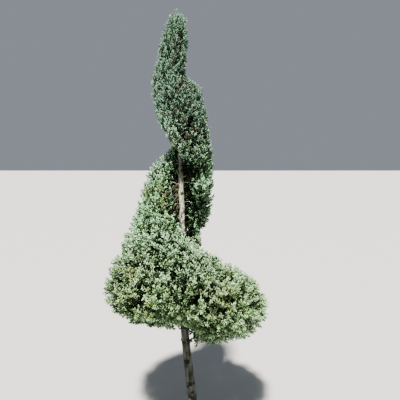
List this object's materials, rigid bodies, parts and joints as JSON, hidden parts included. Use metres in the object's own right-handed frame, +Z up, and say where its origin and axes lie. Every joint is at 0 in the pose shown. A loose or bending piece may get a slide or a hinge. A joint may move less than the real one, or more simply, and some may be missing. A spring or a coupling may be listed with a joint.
{
  "type": "spiral-trained arizona cypress tree",
  "caption": "Young arizona cypress once trained as a spiral, with a leaning bare trunk, a wide skirt of glaucous foliage, a bare winding groove and a narrow leading column.",
  "frame": {"origin": "middle of the flat cut under the trunk, at ground level", "axes": "+Z up along the tree's height, +X to the right and +Y away from the viewer of the picture"},
  "size_m": [0.9134, 0.8779, 2.3859],
  "materials": {
    "bark": "rough flaking bark",
    "foliage": "glaucous scale leaves"
  },
  "bodies": {
    "root": {"bough_1": "bark", "bough_10": "bark", "bough_11": "bark", "bough_12": "bark", "bough_13": "bark", "bough_2": "bark", "bough_3": "bark", "bough_4": "bark", "bough_5": "bark", "bough_6": "bark", "bough_7": "bark", "bough_8": "bark", "bough_9": "bark", "foliage_band_1": "foliage", "foliage_band_2": "foliage", "foliage_band_3": "foliage", "foliage_column_1": "foliage", "foliage_column_2": "foliage", "foliage_column_3": "foliage", "foliage_hip_1": "foliage", "foliage_hip_2": "foliage", "foliage_hip_3": "foliage", "foliage_hip_4": "foliage", "foliage_neck_1": "foliage", "foliage_neck_2": "foliage", "foliage_neck_3": "foliage", "foliage_rim_1": "foliage", "foliage_rim_2": "foliage", "foliage_rim_3": "foliage", "foliage_rim_4": "foliage", "foliage_rim_5": "foliage", "foliage_rim_6": "foliage", "foliage_rim_7": "foliage", "foliage_rim_8": "foliage", "foliage_shoulder_1": "foliage", "foliage_shoulder_2": "foliage", "foliage_shoulder_3": "foliage", "foliage_skirt_1": "foliage", "foliage_skirt_2": "foliage", "foliage_skirt_3": "foliage", "foliage_skirt_4": "foliage", "foliage_skirt_5": "foliage", "foliage_skirt_6": "foliage", "foliage_tip": "foliage", "foliage_under_1": "foliage", "foliage_under_2": "foliage", "foliage_under_3": "foliage", "foliage_under_4": "foliage", "foliage_waist_1": "foliage", "foliage_waist_2": "foliage", "foliage_waist_3": "foliage", "snag_1": "bark", "snag_2": "bark", "snag_3": "bark", "trunk": "bark"}
  },
  "joints": []
}
